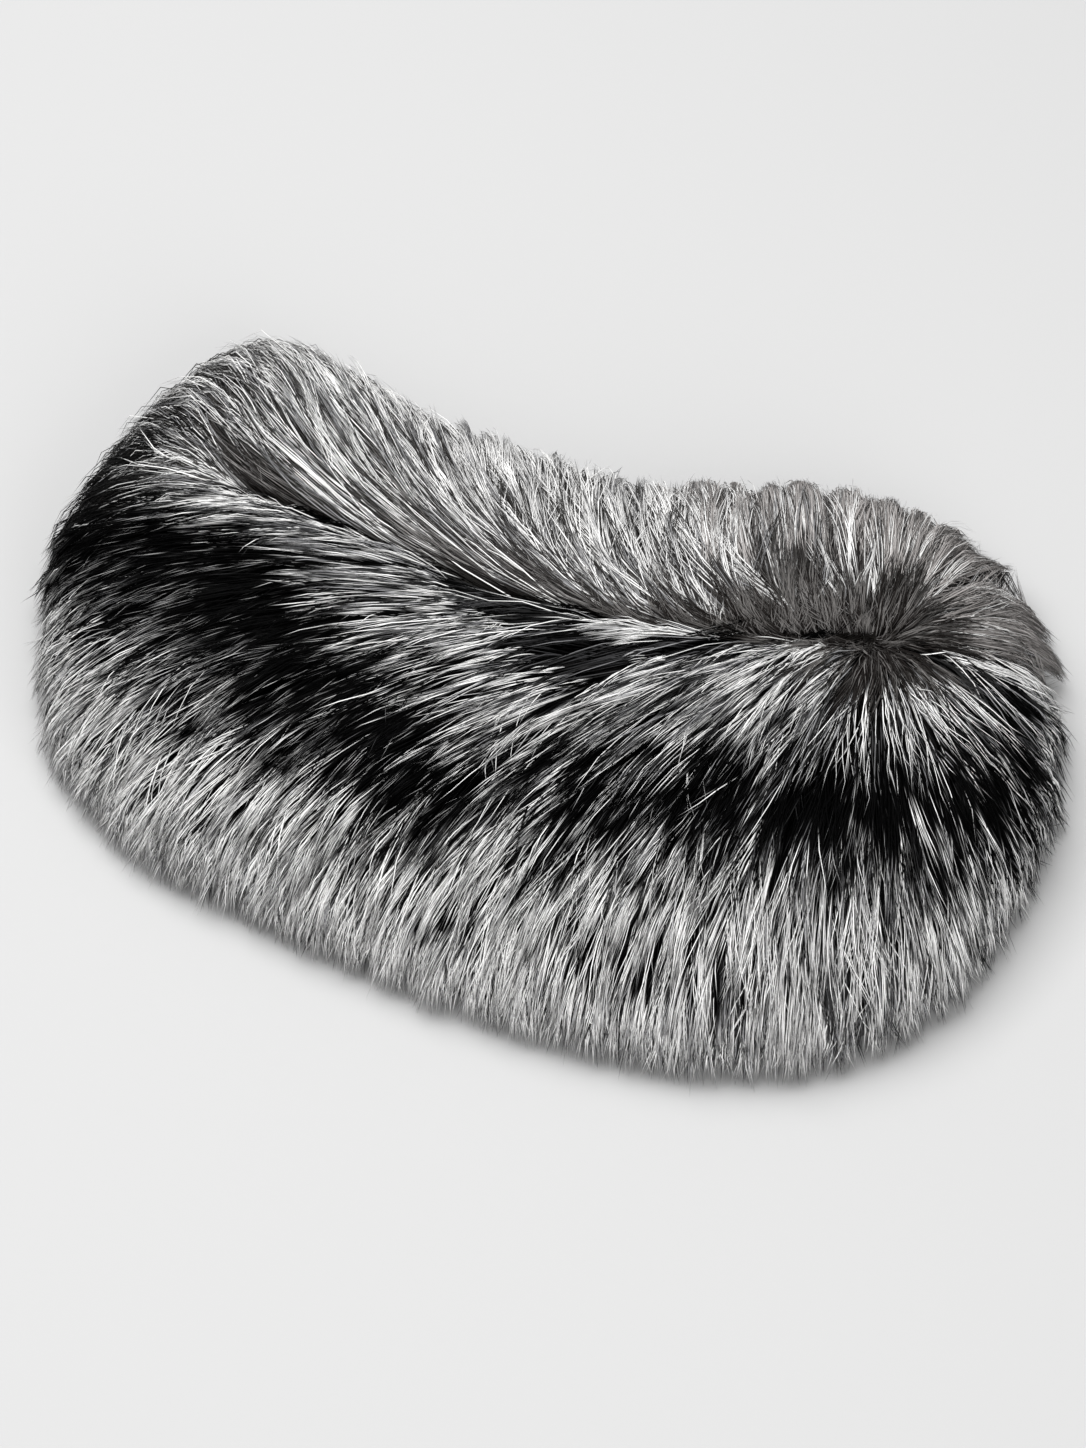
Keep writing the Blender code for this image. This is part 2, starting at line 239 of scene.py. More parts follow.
FRINGE = {"hairs": 5, "width": 0.4, "depth": 0.01, "lift": 0.001, "stray": 0.001}

# The fall's first hairs: how far behind and past the parting they start, and how long they are at most. And
# the tone above which its other locks have their silver late
FIRST_BEHIND, FIRST_PAST, FIRST_LENGTH, LATE_TONE = 0.02, 0.03, 0.058, 0.1

# Shares of a hair's length at its rings and its tip, and its fullness at each ring
GUARD_HAIR = ((0.0, 0.4, 0.8, 1.0), (0.65, 1.0, 0.75))
UNDER_HAIR = ((0.0, 0.6, 1.0), (0.8, 1.0))
FRINGE_HAIR = ((0.0, 0.72, 1.0), (0.8, 1.0))
STRAND = ((0.0, 0.17, 0.34, 0.5, 0.67, 0.84, 1.0), (0.5, 0.85, 1.0, 0.95, 0.8, 0.5))

# The finishes of hair: roughness, the share of its own lightness that silver and grey keep, HAIR_COLOURS and
# HAIR_PLACES. A colour is the name of one of the wrap's colours, a grey, or its own red, green and blue
HAIR_COLOURS = ("Root", "Silver", "Grey", "Dark", "Tip", "Black")
HAIR_PLACES = ("Silver Start", "Tip Start", "Band Half Width")
FALL_HAIR = ("black", "silver", "grey", 0.02, "black", "black")
NECK_HAIR = ((0.03, 0.028, 0.026), "silver", "grey", (0.04, 0.038, 0.036), 0.12, 0.005)
HAIR_FINISHES = {
    "guard_hair_early": (0.5, 1, *FALL_HAIR, 0.1, 0.86, 0.34),
    "guard_hair_middle": (0.5, 1, *FALL_HAIR, 0.4, 0.86, 0.34),
    "guard_hair_late": (0.5, 1, *FALL_HAIR, 0.55, 0.86, 0.34),
    "guard_hair_dark": (0.6, 1, "black", (0.05, 0.05, 0.052), 0.01, *["black"] * 3, 0.3, 0.8, 0.36),
    "neck_hair_silver": (0.5, 0.82, *NECK_HAIR, 0.08, 0.85, 0.3),
    "neck_strand": (0.5, 1, *NECK_HAIR, 0.06, 0.85, 0.35),
    "neck_hair_wool": (
        0.8, 1, (0.025, 0.022, 0.021), (0.22, 0.212, 0.207), (0.11, 0.105, 0.102), (0.03, 0.027, 0.026),
        "wool", 0.01, 0.1, 0.8, 0.3,
    ),
    "crown_wool": (
        0.8, 1, (0.03, 0.028, 0.027), (0.42, 0.40, 0.39), (0.33, 0.312, 0.303), (0.2, 0.188, 0.182),
        (0.04, 0.036, 0.034), 0.01, 0.2, 0.8, 0.3,
    ),
    "whorl_wool": (
        0.8, 1, (0.008, 0.007, 0.006), (0.15, 0.143, 0.138), (0.07, 0.066, 0.063), (0.015, 0.013, 0.012),
        "wool", 0.01, 0.25, 0.8, 0.3,
    ),
}  # fmt: skip
SHINE = 0.045  # of hair, which is dull beside leather or wool in Blender's measure
SHINE_SPREAD = 0.08  # how much smoother and rougher single hairs are
WOOL_ROOT, DARK_TIPS, GREY_TIPS = (0.02, 0.018, 0.017), (0.14, 0.14, 0.14), (0.2, 0.2, 0.2)


# --- The form of the coat --------------------------------------------------------------------------


def spline(table, at):
    """Rows of a table read at a fractional row number, on a Catmull-Rom curve that is held at both ends."""
    padded = np.vstack([2 * table[0] - table[1], table, 2 * table[-1] - table[-2]])
    row = np.clip(np.floor(at).astype(int), 0, len(table) - 2)
    t = (at - row)[..., None]
    a, b, c, d = (padded[row + k] for k in range(4))
    return 0.5 * (2 * b + (c - a) * t + (2 * a - 5 * b + 4 * c - d) * t**2 + (3 * b - a - 3 * c + d) * t**3)


def closed_rays():
    """The rays once round, with a few rows more at each end so that the spline closes on itself, and the
    share of the way round the rim at each row."""
    rays = np.array(RAYS, float)
    turn = np.array([0, 0, 0, 360, 360])
    rows = np.vstack([rays[-3:] - turn, rays, rays[:4] + turn])
    along = np.concatenate([[0], np.cumsum(np.hypot(*np.diff(rows[:, 1:3], axis=0).T))])
    return rows, (along - along[3]) / (along[3 + len(RAYS)] - along[3])


RAY_ROWS, RAY_SHARES = closed_rays()
RIGHT_END = RAY_SHARES[3 + RIGHT_RAY]  # where the fall meets the neck at the right


def ray(about):
    """root, rim x, rim y, leaves and lands at a share round the rim."""
    return spline(RAY_ROWS, np.interp(about, RAY_SHARES, np.arange(len(RAY_SHARES))))


def parting(root):
    """x, y and height on the parting, in metres."""
    line = np.array(PARTING)
    x = line[0, 0] + np.clip(root, 0, 1) * (line[-1, 0] - line[0, 0])
    return (spline(line, np.interp(x, line[:, 0], np.arange(len(line)))) - np.array([*MIDDLE, 0])) * CM


def compass(degrees):
    return np.stack([np.cos(np.radians(degrees)), np.sin(np.radians(degrees))], axis=-1)


def plan_and_reach(row, out):
    """The place on the ground under a point of a ray, on a Hermite curve, and the ray's straight length."""
    start = parting(row[..., 0])[..., :2]
    end = (row[..., 1:3] - np.array(MIDDLE)) * CM
    reach = np.linalg.norm(end - start, axis=-1)
    t = np.asarray(out, float)[..., None]
    place = (
        start * (2 * t**3 - 3 * t**2 + 1)
        + compass(row[..., 3]) * reach[..., None] * (t**3 - 2 * t**2 + t)
        + end * (3 * t**2 - 2 * t**3)
        + compass(row[..., 4]) * reach[..., None] * (t**3 - t**2)
    )
    return place, reach


def smooth_coat(about, out):
    """The coat's outer surface with no tufts."""
    about, out = np.broadcast_arrays(np.asarray(about, float), np.asarray(out, float))
    row = ray(about)
    place, reach = plan_and_reach(row, out)
    rounded = np.maximum(1 - out**SHOULDER, 0) ** (1 / SHOULDER)
    crease = crease_depth(row[..., 0]) * np.exp(-((out * reach / CREASE_WIDTH) ** 2))
    height = RIM_THICKNESS + (parting(row[..., 0])[..., 2] - RIM_THICKNESS) * rounded - crease
    return np.concatenate([place, height[..., None]], axis=-1)


def crease_depth(root):
    """How deep the parting lies, by the share of its width."""
    at_whorl = np.clip((root - WHORL_FROM) / (1 - WHORL_FROM), 0, 1)
    return CREASE_DEPTH + (WHORL_DEPTH - CREASE_DEPTH) * at_whorl


def level(plan_points, height):
    """Points of the plan, laid at one height."""
    return np.concatenate([plan_points, np.full(plan_points.shape[:-1] + (1,), height)], axis=-1)


def unit(vectors):
    return vectors / np.maximum(np.linalg.norm(vectors, axis=-1, keepdims=True), 1e-12)


def coat_frame(about, out):
    """Unit vectors on the smooth coat: outward, which is level at the rim, and sideways, along the rim."""
    step, innermost, level_from = 0.002, 0.02, 0.96
    inner = np.clip(out, innermost, 1 - step)
    along = smooth_coat(about, inner + step) - smooth_coat(about, inner)
    across = smooth_coat(about + step, inner) - smooth_coat(about - step, inner)
    outward = unit(np.cross(along, across))
    at_rim = np.clip((np.asarray(out, float) - level_from) / (1 - level_from), 0, 1)[..., None]
    outward = unit(outward * (1 - at_rim) + unit(outward * np.array([1, 1, 0])) * at_rim)
    return outward, unit(across)


def tuft_edges():
    """The shares round at which one tuft parts from the next. The two straight rays are among them."""
    random = np.random.default_rng(TUFT_SEED)
    fall = round(TUFTS * RIGHT_END)
    edges = []
    for first, last, count in ((0.0, RIGHT_END, fall), (RIGHT_END, 1.0, TUFTS - fall)):
        widths = random.uniform(0.65, 1.35, count)
        edges.append(first + (last - first) * np.concatenate([[0], np.cumsum(widths)[:-1]]) / widths.sum())
    return np.append(np.concatenate(edges), 1.0)


EDGES = tuft_edges()


def tuft_at(about):
    """The number of the tuft at each share round."""
    return np.clip(np.searchsorted(EDGES, about, side="right") - 1, 0, TUFTS - 1)


def tuft_relief(about, out, distance):
    """How far the tufts stand out of the smooth coat, along their length and at their tips."""
    random = np.random.default_rng(TUFT_SEED + 1)
    size = random.uniform(0.55, 1.3, TUFTS)
    random.uniform(0, 1, TUFTS)  # the solids draw rows of tips here, and this keeps the reaches the same
    reach = random.uniform(0.3, 1.5, TUFTS)
    about = np.mod(about, 1.0)
    tuft = tuft_at(about)
    across = (about - EDGES[tuft]) / (EDGES[tuft + 1] - EDGES[tuft])
    crown = np.abs(np.sin(np.pi * across)) ** TUFT_ROUNDNESS
    body = crown * np.clip(distance / TUFT_ROOT, 0, 1) * (size[tuft] * TUFT_RELIEF + TIP_RELIEF)
    tip = (1 - np.abs(2 * across - 1)) * reach[tuft] * TUFT_REACH - GAP_INSET
    at_rim = np.clip((out - RIM_FROM) / (1 - RIM_FROM), 0, 1) ** 2
    return body * (1 - at_rim), tip * at_rim


def columns_at(table, about):
    """The columns of a table, after its first, read at shares round the rim."""
    table = np.array(table)
    return [np.interp(np.mod(about, 1.0), table[:, 0], column) for column in table[:, 1:].T]


class Coat:
    """The coat measured once on a grid: its length along each ray, and its width across the rays."""

    def __init__(self):
        self.round = np.linspace(0, 1, GRID_ROUND)
        shares = np.linspace(0, 1, GRID_OUT)
        points = smooth_coat(self.round[:, None], shares[None, :])
        along = np.linalg.norm(np.diff(points, axis=1), axis=-1).cumsum(axis=1)
        along = np.concatenate([np.zeros((GRID_ROUND, 1)), along], axis=1)
        self.length = along[:, -1]
        self.out = np.array([np.interp(shares * row[-1], row, shares) for row in along])
        even = smooth_coat(self.round[:, None], self.out)
        self.width = np.linalg.norm(np.gradient(even, self.round, axis=0), axis=-1)
        self.distance = shares[None, :] * self.length[:, None]

    def read(self, table, about, distance):
        """A table of the grid at places given by share round and distance from the parting."""
        row = np.mod(about, 1.0) * (GRID_ROUND - 1)
        column = np.clip(distance / self.total(about), 0, 1) * (GRID_OUT - 1)
        i, j = np.minimum(row.astype(int), GRID_ROUND - 2), np.minimum(column.astype(int), GRID_OUT - 2)
        u, v = row - i, column - j
        return (
            table[i, j] * (1 - u) * (1 - v)
            + table[i + 1, j] * u * (1 - v)
            + table[i, j + 1] * (1 - u) * v
            + table[i + 1, j + 1] * u * v
        )

    def total(self, about):
        """The length of the coat along each ray."""
        return np.interp(np.mod(about, 1.0), self.round, self.length)

    def across(self, about, distance):
        """The length once round at a distance from the parting."""
        return np.maximum(self.read(self.width, about, distance), NARROWEST)

    def scatter(self, random, first, last, count, lock):
        """Places for tips, spread evenly over the coat, as shares round and distances from the parting."""
        nearest = np.maximum(lock["nearest"], self.length[:, None] - lock["from_rim"])
        area = self.width * self.length[:, None]
        area = area * (self.distance > nearest) * (self.distance < lock["furthest"])
        area = area * ((self.round >= first) & (self.round <= last))[:, None]
        cell = np.searchsorted(np.cumsum(area), random.uniform(0, area.sum(), count))
        i, j = np.divmod(np.minimum(cell, area.size - 1), GRID_OUT)
        about = self.round[i] + random.uniform(-0.5, 0.5, count) / (GRID_ROUND - 1)
        share = (j + random.uniform(-0.5, 0.5, count)) / (GRID_OUT - 1)
        return np.clip(about, first, last), np.clip(share, 0, 1) * self.length[i]

    def place(self, about, distance, tips=True):
        """Points of the coat, with or without its tufts' tips, and its outward and sideways vectors. Past
        the rim it runs on level, and behind the parting it runs on straight, over the other side."""
        about = np.mod(about, 1.0)
        out = self.read(self.out, about, distance)
        outward, sideways = coat_frame(about, out)
        body, tip = tuft_relief(about, out, distance)
        shown = columns_at(TUFTS_SHOWN, about)[0]
        stand = body + tips * shown * tip + np.maximum(distance - self.total(about), 0)
        behind = np.maximum(-distance, 0)
        row = ray(about)
        back = level(-compass(row[..., 3]) * behind[..., None], 0.0)
        back[..., 2] = crease_depth(row[..., 0]) * (1 - np.exp(-((behind / CREASE_WIDTH) ** 2)))
        return smooth_coat(about, out) + outward * stand[..., None] + back, outward, sideways


COAT = Coat()

# The two sides of the wrap: from and to, as shares round, how far the edges at the seam are moved along Y,
# and the flat size and area of the leather
SIDES = {
    "fall": (0.0, RIGHT_END, -SEAM_STEP, (0.206, 0.339), 0.0377),
    "neck": (RIGHT_END, 1.0, 0.0, (0.130, 0.320), 0.0145),
}


# --- Hairs -----------------------------------------------------------------------------------------


def join_hairs(*groups):
    """Several groups of hairs, each a dictionary of equal arrays, as one."""
    return {name: np.concatenate([group[name] for group in groups]) for name in groups[0]}


def chosen(hairs, which):
    """The hairs for which this holds."""
    return {name: values[which] for name, values in hairs.items()}


def rooted(random, about, tip, length, lock):
    """Where hairs start, how long they are, and how long the coat is once round at their middles. Those that
    would start behind the first hairs start about them."""
    first = lock["first"]
    if first is None:
        first = columns_at(LIGHT, about)[2]
        waver = 1 + PARTING_WAVE * np.sin(2 * math.pi * PARTING_WAVES * about)
        first = np.where(first < 0, first * lock["behind"] * waver, first)
    away = random.uniform(0, 1, len(tip))
    start = np.maximum(tip - length, first * np.where(first < 0, away**2, 1 + FIRST_SPREAD * away))
    length = np.maximum(tip - start, SHORTEST)
    return start, length, COAT.across(about, np.maximum(tip - length / 2, HAIRLINE))


def root_depth(random, length, full, depth):
    """How deep in the coat hairs start. Those that are cut short show their roots, and start less deep."""
    deep = depth * random.uniform(0.6, 1.2, len(length))
    return np.where(length < full - ROOT_SHOWS, deep * random.uniform(0.05, 0.5, len(length)), deep)


def in_hollow(points):
    """Whether points lie over one of the dark hollows."""
    inside = np.zeros(points.shape[:-1], bool)
    for x, y, direction, half_length, half_width in HOLLOWS:
        off = points[..., :2] - np.array([x, y])
        along, across = off @ compass(direction), off @ compass(direction + 90)
        inside |= (along / half_length) ** 2 + (across / half_width) ** 2 < 1
    return inside


def from_notches(about, distance, shift=0.0):
    """For each notch: its half width, how far to one side of its middle each place lies in metres, and how
    far along it, from 0 at its inner end to 1 at the rim. shift is how far places are yet to move."""
    width = COAT.across(about, distance)
    for place, half, reach in NOTCHES:
        off = np.mod(about - place + 0.5, 1.0) - 0.5 + shift / width
        yield half, off * width, np.clip(1 - (COAT.total(about) - distance) / reach, 0, 1)


def notched(about, distance, shift):
    """Shares round moved away from the notches."""
    width = COAT.across(about, distance)
    moved = about
    for half, off, near in from_notches(about, distance, shift):
        near = near * np.clip(1 - np.abs(off) / (NOTCH_SPREAD * half), 0, 1)
        moved = moved + np.where(off < 0, -1, 1) * near * half / width
    return moved


def gap_depth(about, distance):
    """How much deeper the undercoat lies in the notches."""
    gaps = [near * half * np.exp(-((off / half) ** 2)) for half, off, near in from_notches(about, distance)]
    return np.max(gaps, axis=0)


def course(hairs, t):
    """The share round and the distance from the parting of every hair at shares t of its length. Near the
    parting hairs sweep along it, and near the rim they gather in the tufts."""
    about = hairs["root"][:, None] + (hairs["tip"] - hairs["root"])[:, None] * t**SIDEWAYS_FROM
    about = about - columns_at(SLANT, hairs["tip"])[0][:, None] * (1 - t)
    distance = hairs["start"][:, None] + hairs["length"][:, None] * t
    near_parting = np.clip(1 - distance / SWEEP_REACH, 0, 1) ** 2
    about = np.mod(about + columns_at(SWEEP, hairs["tip"])[0][:, None] * near_parting, 1.0)
    tuft = tuft_at(about)
    middle = (EDGES[tuft] + EDGES[tuft + 1]) / 2
    near_rim = np.clip(1 + (distance - COAT.total(about)) / TIP_GATHER_REACH, 0, 1) ** 1.5
    gather = np.minimum(TIP_GATHER * columns_at(TUFTS_SHOWN, about)[0], MOST_GATHER)
    return about + (middle - about) * gather * near_rim, distance


def thinned(random, hairs):
    """The hairs that don't give way to wool. Those that would pass over a hollow start past it."""
    at = np.linspace(0.08, 1, 12)  # shares of a hair's length at which it is looked for over a hollow
    over = in_hollow(hair_points(hairs, at)[0])
    far = np.clip((hairs["start"] + hairs["length"] - WOOL_TO) / WOOL_FADE, 0, 1)
    goes = hairs["lock_chance"] < columns_at(LIGHT, hairs["tip"])[3] * (1 - far)
    late = np.where(random.uniform(0, 1, len(goes)) < HOLLOW_KEEP, 0, (over * at[None, :]).max(axis=1))
    hairs = dict(hairs)
    hairs["root"] = hairs["root"] + (hairs["tip"] - hairs["root"]) * late**SIDEWAYS_FROM
    hairs["start"] = hairs["start"] + hairs["length"] * late
    for name in ("length", "swing", "wave", "turns", "lift"):
        hairs[name] = hairs[name] * (1 - late)
    hairs["depth"] = np.where(late > 0, HOLLOW_DEPTH, hairs["depth"])
    return chosen(hairs, ~goes & (hairs["length"] > SHORTEST_KEPT))


def hairs_in_locks(random, first, last, count, lock):
    """Hairs gathered in locks that taper to their tips, and in each lock in finer points. Each hair has a
    root and a tip on the coat, given by shares round and distances from the parting."""
    locks = max(1, round(count / lock["hairs"]))
    about, reach = COAT.scatter(random, first, last, locks, lock)
    on_top = np.where(random.uniform(0, 1, locks) < lock["on_top"], TOP_DEPTH, 1.0)
    if lock["from_rim"] < 1:
        reach = COAT.total(about) - (COAT.total(about) - reach) ** 2 / lock["from_rim"]
    size = random.uniform(0.6, 1.4, locks)
    mine = np.repeat(np.arange(locks), np.maximum(1, np.round(lock["hairs"] * size)).astype(int))
    hairs = len(mine)
    side = random.uniform(-1, 1, hairs)
    point = (np.floor(side * POINTS_PER_SIDE) + 0.5) / POINTS_PER_SIDE
    full = lock["length"] * random.uniform(0.88, 1.1, locks)[mine] * random.normal(1, 0.07, hairs)
    total = COAT.total(about)[mine]
    back = SIDE_POINTS_BACK * point**2 * full
    tip = reach[mine] * (1 + OVERHANG / total) - back + random.normal(0, UNEVEN_TIPS, hairs)
    tip = np.minimum(tip, total + 1.5 * OVERHANG)
    start, length, across = rooted(random, about[mine], tip, full, lock)
    half = lock["width"] * size[mine] / 2 / across
    gather = np.maximum(random.normal(lock["gather"], 0.12, locks)[mine], 0.08)
    rise = random.uniform(0, 1, locks) ** 2 * 1.6
    return {
        "root": about[mine] + side * half + random.normal(0, lock["lean"], locks)[mine] / across,
        "tip": about[mine] + point * half * gather + random.normal(0, lock["stray"], hairs) / across,
        "start": start,
        "length": length,
        "swing": random.normal(0, lock["swing"], locks)[mine] + random.normal(0, 0.0008, hairs),
        "wave": random.uniform(0.2, 1.0, hairs) * lock["wave"],
        "turns": np.full(hairs, lock["turns"]),
        "phase": random.uniform(0, 2 * math.pi, hairs),
        "depth": root_depth(random, length, full, lock["depth"]) * on_top[mine],
        "lift": np.minimum(lock["lift"] * (rise[mine] + random.exponential(0.4, hairs)), lock["most_lift"]),
        "thickness": random.uniform(0.7, 1.15, hairs) * lock["thickness"],
        "lock_tone": random.uniform(-1, 1, locks)[mine],
        "lock_chance": random.uniform(0, 1, locks)[mine],
        "lock_dark": random.uniform(0, 1, locks)[mine] * lock["dark"],
    }


def loose_hairs(random, first, last, count, lock):
    """Hairs laid one by one, some of them crossing their neighbours."""
    about, tip = COAT.scatter(random, first, last, count, lock)
    full = lock["length"] * random.uniform(0.7, 1.1, count)
    start, length, across = rooted(random, about, tip, full, lock)
    return {
        "root": about + random.normal(0, lock["lean"], count) / across,
        "tip": about,
        "start": start,
        "length": length,
        "swing": random.normal(0, lock["swing"], count),
        "wave": random.uniform(0.2, 1.0, count) * lock["wave"],
        "turns": random.uniform(0.6, 1.2, count) * lock["turns"],
        "phase": random.uniform(0, 2 * math.pi, count),
        "depth": root_depth(random, length, full, lock["depth"]),
        "lift": np.minimum(lock["lift"] * random.exponential(1.0, count), lock["most_lift"]),
        "thickness": random.uniform(0.6, 1.0, count),
        "lock_tone": random.uniform(-1, 1, count),
        "lock_chance": random.uniform(0, 1, count),
        "lock_dark": random.uniform(0, 1, count),
    }


def hair_points(hairs, at):
    """Points along every hair at the given shares of its length, and the coat's outward vectors there."""
    t = at[None, :]
    about, distance = course(hairs, t)
    wave = hairs["wave"][:, None] * t * np.sin(hairs["phase"][:, None] + hairs["turns"][:, None] * t)
    shift = hairs["swing"][:, None] * t**2 + wave
    point, outward, sideways = COAT.place(notched(about, distance, shift), distance)
    rise = hairs["lift"][:, None] * t**2 - hairs["depth"][:, None] * (1 - t) ** 2.2
    near_rim = np.clip(1 - (COAT.total(about) - distance) / FLARE_REACH, 0, 1) ** 1.5
    rise = rise - columns_at(SUNK, about)[0] + columns_at(FLARE, about)[0] * near_rim
    point = point + outward * rise[..., None] + sideways * shift[..., None]
    low = np.minimum(point[..., 2] / FLOOR_CLEARANCE, 1)
    point[..., 2] = np.where(low < 1, FLOOR_CLEARANCE * np.exp(low - 1), point[..., 2])
    return point, outward


def lay_hairs(name, hairs, thickness, finish, shape):
    """One piece of many three-sided hairs, each closed at its root and drawn out to a point."""
    at, fullness = (np.array(part) for part in shape)
    point, outward = hair_points(hairs, at)
    count, rings = len(point), len(fullness)
    along = unit(np.gradient(point, axis=1))
    side = unit(np.cross(along, outward))
    angle = hairs["phase"][:, None] + np.arange(3)[None, :] * (2 * math.pi / 3)
    radius = 0.5 * thickness * hairs["thickness"][:, None] * fullness[None, :]
    ring = point[:, :rings, None]
    for axis, turned in ((side, np.cos(angle)), (np.cross(side, along), np.sin(angle))):
        ring = ring + (axis[:, :rings, None] * turned[:, None, :, None]) * radius[..., None, None]
    vertices = np.concatenate([ring.reshape(count, rings * 3, 3), point[:, -1:]], axis=1)
    corners, lengths, u, v = hair_pattern(at, rings)
    column = np.floor(np.clip(hairs["tone"], 0, 0.9999) * TONE_COLUMNS)
    start = (column + (1 - COLUMN_FILL) / 2) / TONE_COLUMNS
    across = start[:, None] + u * COLUMN_FILL / TONE_COLUMNS
    flat = np.stack(np.broadcast_arrays(across, v[None, :]), axis=-1)
    mesh = bpy.data.meshes.new(name)
    mesh.vertices.add(count * vertices.shape[1])
    mesh.vertices.foreach_set("co", vertices.astype(np.float32).ravel())
    indices = corners[None, :] + (np.arange(count) * vertices.shape[1])[:, None]
    mesh.loops.add(indices.size)
    mesh.loops.foreach_set("vertex_index", indices.astype(np.int32).ravel())
    mesh.polygons.add(count * len(lengths))
    firsts = np.concatenate([[0], np.cumsum(np.tile(lengths, count))[:-1]])
    mesh.polygons.foreach_set("loop_start", firsts.astype(np.int32))
    mesh.update(calc_edges=True)
    mesh.uv_layers.new(name="OFBake").data.foreach_set("uv", flat.astype(np.float32).ravel())
    mesh.materials.append(finish)
    mesh.shade_smooth()
    if mesh.validate():
        raise RuntimeError(f"{name} has faces that Blender had to mend")
    made = bpy.data.objects.new(name, mesh)
    bpy.context.scene.collection.objects.link(made)
    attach(made, "root")


def hair_pattern(at, rings):
    """The corners of one hair's faces, each face's number of corners, and the corners' places on the map."""
    faces = [((2, 1, 0), ((1.0, 0.0), (0.5, 0.02), (0.0, 0.0)))]
    sides = [(k, (k + 1) % 3, k / 3, (k + 1) / 3) for k in range(3)]
    for ring in range(rings - 1):
        low, high = 3 * ring, 3 * ring + 3
        for k, after, left, right in sides:
            ends = ((left, at[ring]), (right, at[ring]), (right, at[ring + 1]), (left, at[ring + 1]))
            faces.append(((low + k, low + after, high + after, high + k), ends))
    last = 3 * (rings - 1)
    for k, after, left, right in sides:
        ends = ((left, at[rings - 1]), (right, at[rings - 1]), ((k + 0.5) / 3, 1.0))
        faces.append(((last + k, last + after, last + 3), ends))
    corners = np.array([corner for face, _ in faces for corner in face])
    places = np.array([place for _, ends in faces for place in ends])
    return corners, np.array([len(face) for face, _ in faces]), places[:, 0], places[:, 1]


def shades(random, hairs, by_lock, by_hair):
    """Each hair's shade, from 0 for silver to SHADES - 1 for black. A lock is light or dark as a whole, and
    its hairs vary about that."""
    near, far = columns_at(LIGHT, hairs["tip"])[:2]
    # a tip counts as near the parting up to 0.35 of the way out, and as far from it past 0.85
    out = np.clip((hairs["start"] + hairs["length"]) / COAT.total(hairs["tip"]) * 2 - 0.7, 0, 1)
    is_light = hairs["lock_dark"] < near + (far - near) * out
    is_light ^= random.uniform(0, 1, len(is_light)) < np.where(is_light, DARK_IN_LIGHT, LIGHT_IN_DARK)
    light = np.where(is_light, LIGHT_SHADE, DARK_SHADE)
    light += by_lock * hairs["lock_tone"] + random.normal(0, by_hair, len(light))
    return np.clip(np.floor((1 - light) * SHADES), 0, SHADES - 1)


def band_places(random, hairs, later):
    """Where the black band lies along each hair, in lengths of that hair from its root, as a share from 0
    for one length behind the root to 1 for two lengths past it. Hairs that stay silver have it far past
    their tips, and later moves it towards the tips."""
    table = np.array(BAND)
    about = np.mod(hairs["root"] + 0.25, 1.0) - 0.25
    middle, half, strength = (np.interp(about, table[:, 0], column) for column in table[:, 1:].T)
    middle = middle + hairs["lock_tone"] * BAND_LOCK_SPREAD + random.normal(0, BAND_HAIR_SPREAD, len(about))
    spare = np.maximum(half - BAND_REACH, 0)
    start, length = hairs["start"], hairs["length"]
    nearest = np.clip(BAND_ON_HAIR, (middle - spare - start) / length, (middle + spare - start) / length)
    chance = BAND_BY_LOCK * hairs["lock_chance"] + (1 - BAND_BY_LOCK) * random.uniform(0, 1, len(about))
    turned = (chance < strength) & (about < RIGHT_END + BAND_PAST_FALL)
    return np.clip(np.where(turned, (nearest + later + 1) / 3, 1), 0, 0.999)


# --- Finishes --------------------------------------------------------------------------------------


def shader(name):
    """A new material, its node tree and its Principled BSDF."""
    made = bpy.data.materials.new(name)
    made.use_nodes = True
    return made, made.node_tree, made.node_tree.nodes["Principled BSDF"]


def feed(tree, node, values):
    """Gives a node's inputs values, or links from other nodes' outputs."""
    for socket, value in values.items():
        target = node.inputs[socket]
        if isinstance(value, bpy.types.NodeSocket):
            tree.links.new(value, target)
        elif isinstance(value, (int, float)):
            target.default_value = value
        else:
            target.default_value = (*value, 1) if target.type == "RGBA" else value


def add(tree, kind, values, **settings):
    """A shader node of this kind with its settings and inputs, and its first output."""
    made = tree.nodes.new("ShaderNode" + kind)
    for name, value in settings.items():
        setattr(made, name, value)
    feed(tree, made, values)
    return made


def sums(tree, operation, *values):
    """One Math node's result."""
    return add(tree, "Math", dict(enumerate(values)), operation=operation).outputs[0]


def ramp(tree, value, low, high, start=0.0, end=1.0):
    """A smooth step from start to end as value goes from low to high."""
    values = {"Value": value, "From Min": low, "From Max": high, "To Min": start, "To Max": end}
    return add(tree, "MapRange", values, interpolation_type="SMOOTHSTEP").outputs["Result"]


def blend(tree, share, first, second):
    """Two colours mixed by a share of the second."""
    return add(tree, "Mix", {0: share, 6: first, 7: second}, data_type="RGBA").outputs[2]


def chance(tree, column, seed):
    """A number from 0 to 1 that is the same all over a column."""
    values = {"W": sums(tree, "ADD", column, seed)}
    return add(tree, "TexWhiteNoise", values, noise_dimensions="1D").outputs["Value"]


def bumps(tree, surface, height, strength, distance):
    """Feeds a bump of this height to a material's surface."""
    bump = add(tree, "Bump", {"Strength": strength, "Distance": distance, "Height": height})
    feed(tree, surface, {"Normal": bump.outputs["Normal"]})


